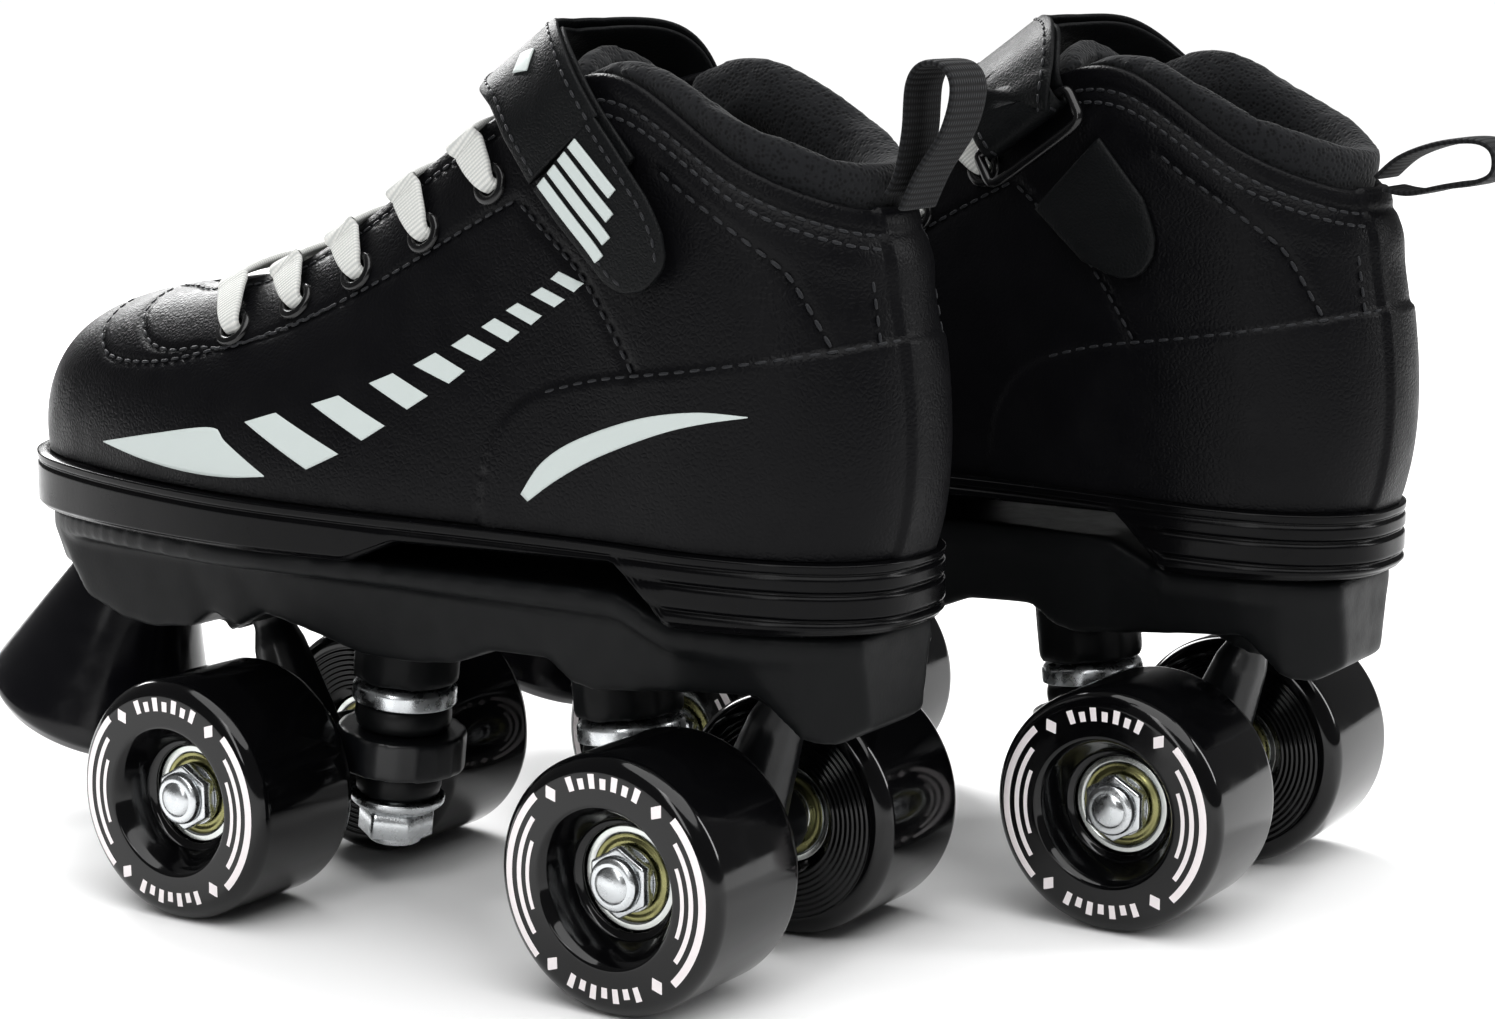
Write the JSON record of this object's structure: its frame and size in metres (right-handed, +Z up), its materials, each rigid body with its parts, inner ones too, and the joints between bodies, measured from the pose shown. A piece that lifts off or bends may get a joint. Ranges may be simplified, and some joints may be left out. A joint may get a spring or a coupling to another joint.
{
  "type": "quad roller skates",
  "caption": "High-top quad roller skates: laced padded boots with an instep strap, on moulded plates with cushioned steering trucks, free-rolling wheels and angled toe stops.",
  "frame": {"origin": "on the floor, under the middle of the pair's bounding box", "axes": "+Y the rolling direction, towards the toes; +X towards the wearer's right; +Z up"},
  "size_m": [0.2014, 0.3354, 0.1974],
  "materials": {
    "black_leather": "grained",
    "knit_lining": "knitted",
    "tongue_pad": "padded",
    "webbing": "ribbed",
    "strap_leather": "smooth",
    "black_wire": "gloss",
    "white_lace": "woven",
    "sole_rubber": "gloss",
    "black_nylon": "satin",
    "stop_rubber": "gloss",
    "black_truck": "satin",
    "zinc_steel": "zinc plated",
    "black_cushion": "satin",
    "black_urethane": "gloss",
    "bearing_steel": "satin"
  },
  "bodies": {
    "left_skate": {"left_upper": "black_leather", "left_collar_padding": "knit_lining", "left_tongue": "tongue_pad", "left_heel_pull_loop": "webbing", "left_strap_anchor": "strap_leather", "left_strap_ring": "black_wire", "left_instep_strap": "strap_leather", "left_lace": "white_lace", "left_sole_unit": "sole_rubber", "left_chassis": "black_nylon", "left_toe_stop": "stop_rubber", "left_front_kingpin": "zinc_steel", "left_front_upper_cushion": "black_cushion", "left_front_lower_cushion": "black_cushion", "left_rear_kingpin": "zinc_steel", "left_rear_upper_cushion": "black_cushion", "left_rear_lower_cushion": "black_cushion"},
    "left_strap_flap": {"left_strap_end": "strap_leather"},
    "left_front_truck": {"left_front_hanger": "black_truck", "left_front_axle": "zinc_steel"},
    "left_front_outer": {"left_front_outer_wheel": "black_urethane", "left_front_outer_bearings": "bearing_steel"},
    "left_front_inner": {"left_front_inner_wheel": "black_urethane", "left_front_inner_bearings": "bearing_steel"},
    "left_rear_truck": {"left_rear_hanger": "black_truck", "left_rear_axle": "zinc_steel"},
    "left_rear_outer": {"left_rear_outer_wheel": "black_urethane", "left_rear_outer_bearings": "bearing_steel"},
    "left_rear_inner": {"left_rear_inner_wheel": "black_urethane", "left_rear_inner_bearings": "bearing_steel"},
    "right_skate": {"right_upper": "black_leather", "right_collar_padding": "knit_lining", "right_tongue": "tongue_pad", "right_heel_pull_loop": "webbing", "right_strap_anchor": "strap_leather", "right_strap_ring": "black_wire", "right_instep_strap": "strap_leather", "right_lace": "white_lace", "right_sole_unit": "sole_rubber", "right_chassis": "black_nylon", "right_toe_stop": "stop_rubber", "right_front_kingpin": "zinc_steel", "right_front_upper_cushion": "black_cushion", "right_front_lower_cushion": "black_cushion", "right_rear_kingpin": "zinc_steel", "right_rear_upper_cushion": "black_cushion", "right_rear_lower_cushion": "black_cushion"},
    "right_strap_flap": {"right_strap_end": "strap_leather"},
    "right_front_truck": {"right_front_hanger": "black_truck", "right_front_axle": "zinc_steel"},
    "right_front_outer": {"right_front_outer_wheel": "black_urethane", "right_front_outer_bearings": "bearing_steel"},
    "right_front_inner": {"right_front_inner_wheel": "black_urethane", "right_front_inner_bearings": "bearing_steel"},
    "right_rear_truck": {"right_rear_hanger": "black_truck", "right_rear_axle": "zinc_steel"},
    "right_rear_outer": {"right_rear_outer_wheel": "black_urethane", "right_rear_outer_bearings": "bearing_steel"},
    "right_rear_inner": {"right_rear_inner_wheel": "black_urethane", "right_rear_inner_bearings": "bearing_steel"}
  },
  "joints": [
    {"name": "right_skate_roll_apart", "type": "slide", "parent": "left_skate", "child": "right_skate", "axis": [0, 1, 0], "range_m": [-0.15, 0.15]},
    {"name": "left_strap_peel", "type": "hinge", "parent": "left_skate", "child": "left_strap_flap", "pos_m": [-0.084, -0.0223, 0.17089], "axis": [0, 0.8211, -0.5708], "range_deg": [0, 110]},
    {"name": "left_front_steer", "type": "hinge", "parent": "left_skate", "child": "left_front_truck", "pos_m": [-0.05215, 0.04836, 0.0334], "axis": [0, 0.8172, 0.5764], "range_deg": [-8, 8], "stiffness_Nm_per_rad": 18, "deforming": ["left_front_upper_cushion", "left_front_lower_cushion"]},
    {"name": "left_front_outer_spin", "type": "hinge", "parent": "left_front_truck", "child": "left_front_outer", "pos_m": [-0.0845, 0.07449, 0.027], "axis": [1, 0, 0], "continuous": true},
    {"name": "left_front_inner_spin", "type": "hinge", "parent": "left_front_truck", "child": "left_front_inner", "pos_m": [-0.0198, 0.07449, 0.027], "axis": [1, 0, 0], "continuous": true},
    {"name": "left_rear_steer", "type": "hinge", "parent": "left_skate", "child": "left_rear_truck", "pos_m": [-0.05215, -0.01738, 0.0334], "axis": [0, -0.8172, 0.5764], "range_deg": [-8, 8], "stiffness_Nm_per_rad": 18, "deforming": ["left_rear_upper_cushion", "left_rear_lower_cushion"]},
    {"name": "left_rear_outer_spin", "type": "hinge", "parent": "left_rear_truck", "child": "left_rear_outer", "pos_m": [-0.0845, -0.04351, 0.027], "axis": [1, 0, 0], "continuous": true},
    {"name": "left_rear_inner_spin", "type": "hinge", "parent": "left_rear_truck", "child": "left_rear_inner", "pos_m": [-0.0198, -0.04351, 0.027], "axis": [1, 0, 0], "continuous": true},
    {"name": "right_strap_peel", "type": "hinge", "parent": "right_skate", "child": "right_strap_flap", "pos_m": [0.084, -0.0801, 0.17089], "axis": [0, -0.8211, 0.5708], "range_deg": [0, 110]},
    {"name": "right_front_steer", "type": "hinge", "parent": "right_skate", "child": "right_front_truck", "pos_m": [0.05215, -0.00944, 0.0334], "axis": [0, -0.8172, -0.5764], "range_deg": [-8, 8], "stiffness_Nm_per_rad": 18, "deforming": ["right_front_upper_cushion", "right_front_lower_cushion"]},
    {"name": "right_front_outer_spin", "type": "hinge", "parent": "right_front_truck", "child": "right_front_outer", "pos_m": [0.0845, 0.01669, 0.027], "axis": [1, 0, 0], "continuous": true},
    {"name": "right_front_inner_spin", "type": "hinge", "parent": "right_front_truck", "child": "right_front_inner", "pos_m": [0.0198, 0.01669, 0.027], "axis": [1, 0, 0], "continuous": true},
    {"name": "right_rear_steer", "type": "hinge", "parent": "right_skate", "child": "right_rear_truck", "pos_m": [0.05215, -0.07518, 0.0334], "axis": [0, 0.8172, -0.5764], "range_deg": [-8, 8], "stiffness_Nm_per_rad": 18, "deforming": ["right_rear_upper_cushion", "right_rear_lower_cushion"]},
    {"name": "right_rear_outer_spin", "type": "hinge", "parent": "right_rear_truck", "child": "right_rear_outer", "pos_m": [0.0845, -0.10131, 0.027], "axis": [1, 0, 0], "continuous": true},
    {"name": "right_rear_inner_spin", "type": "hinge", "parent": "right_rear_truck", "child": "right_rear_inner", "pos_m": [0.0198, -0.10131, 0.027], "axis": [1, 0, 0], "continuous": true}
  ]
}
